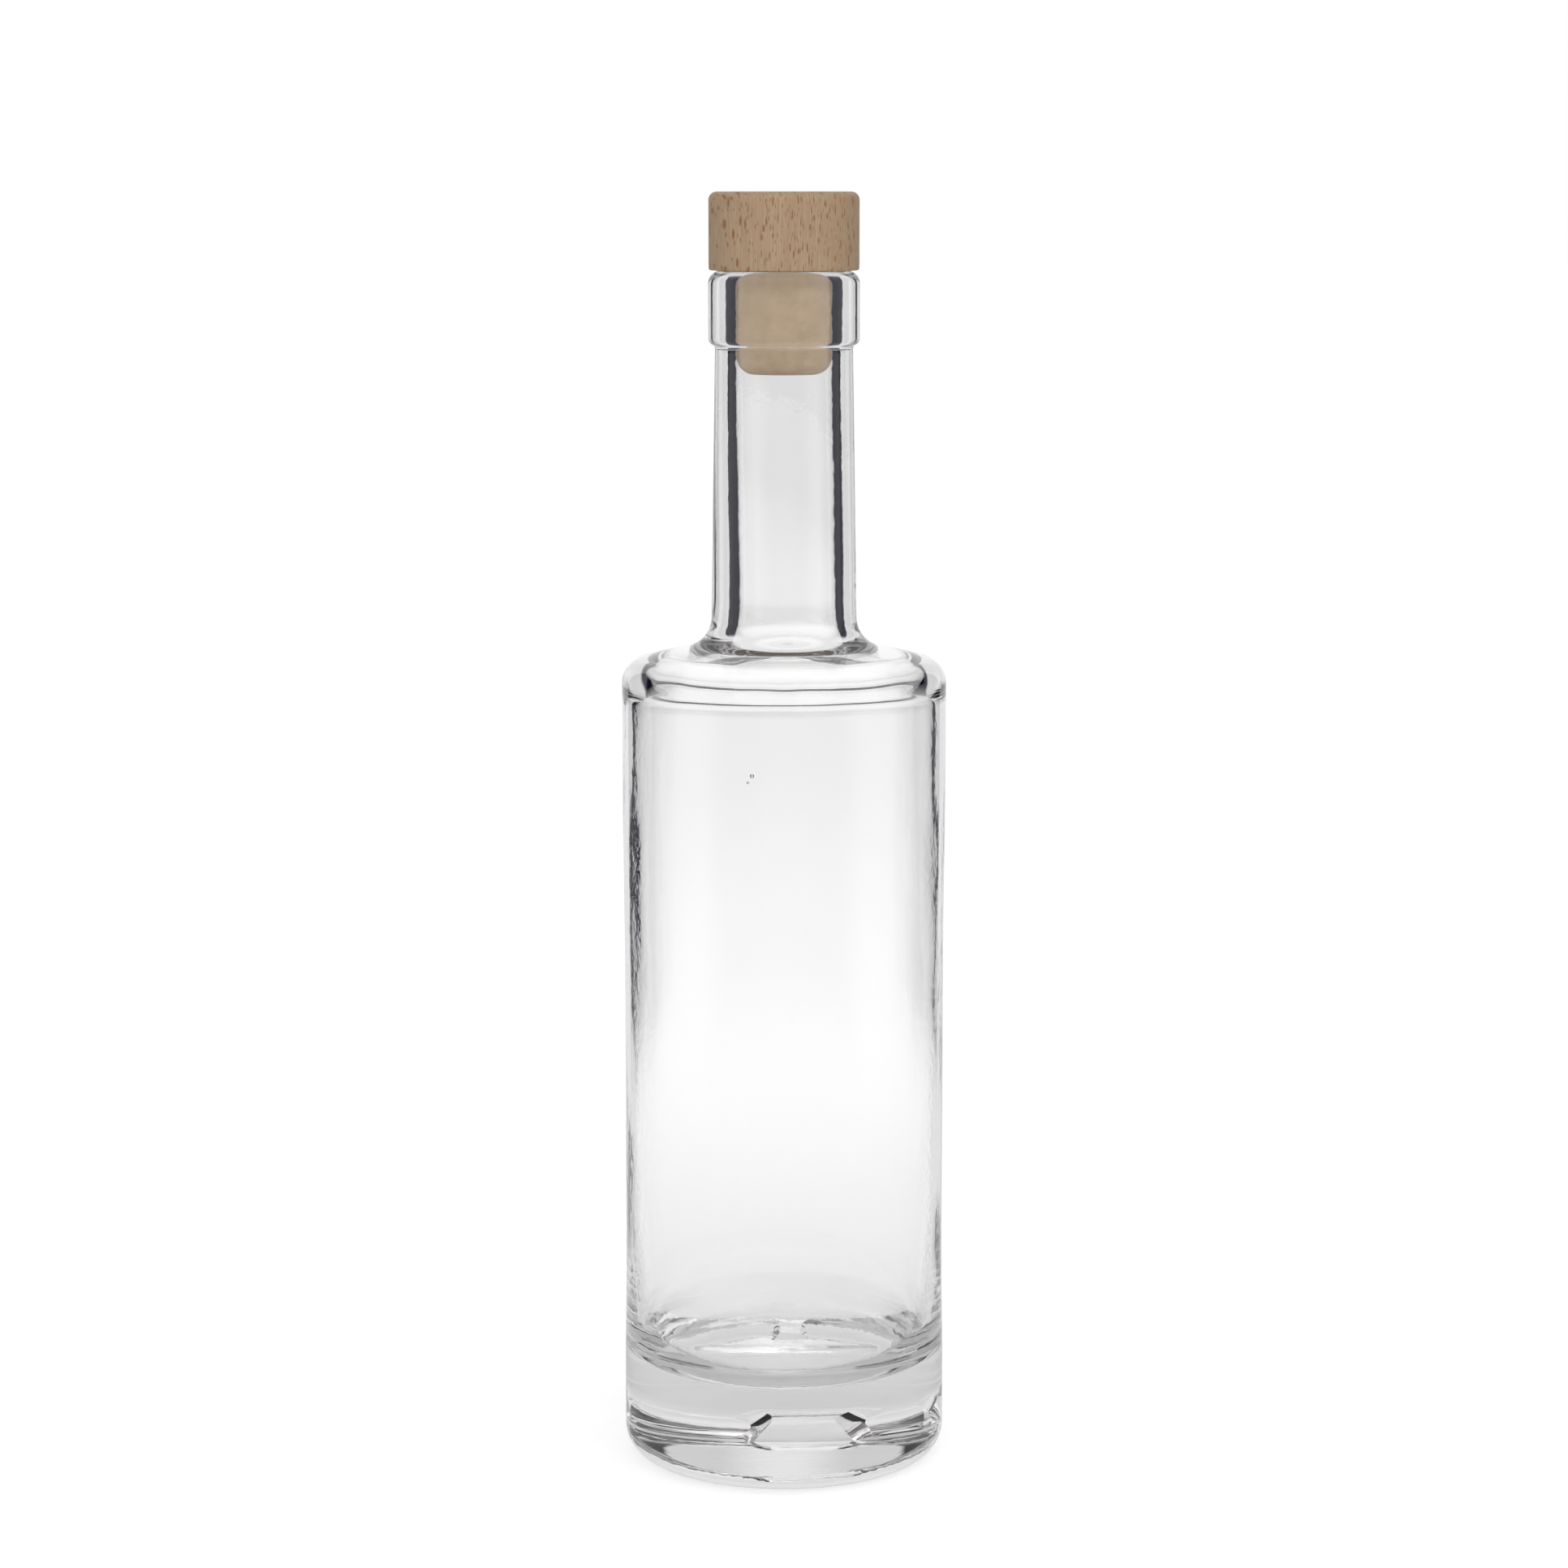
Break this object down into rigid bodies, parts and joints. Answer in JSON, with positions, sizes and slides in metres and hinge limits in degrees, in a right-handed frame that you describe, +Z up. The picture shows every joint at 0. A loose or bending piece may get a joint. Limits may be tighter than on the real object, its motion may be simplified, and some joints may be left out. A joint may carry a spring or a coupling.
{
  "type": "glass bottle",
  "caption": "Tall round clear glass bottle with a heavy base and a pushed-in wooden-topped stopper.",
  "frame": {"origin": "middle of the ring that the bottle stands on", "axes": "+Z up along the bottle's axis, towards the stopper; +Y towards the heel's locating notch, at the back"},
  "size_m": [0.063, 0.063, 0.2483],
  "materials": {
    "clear_glass": "clear, fire-polished",
    "beech": "turned and finely sanded",
    "shank_polymer": "matt, fine-celled"
  },
  "bodies": {
    "bottle": {"bottle": "clear_glass"},
    "stopper": {"wooden_head": "beech", "stopper_shank": "shank_polymer"}
  },
  "joints": [
    {"name": "stopper_lift", "type": "slide", "parent": "bottle", "child": "stopper", "axis": [0, 0, 1], "range_m": [0, 0.045]}
  ]
}
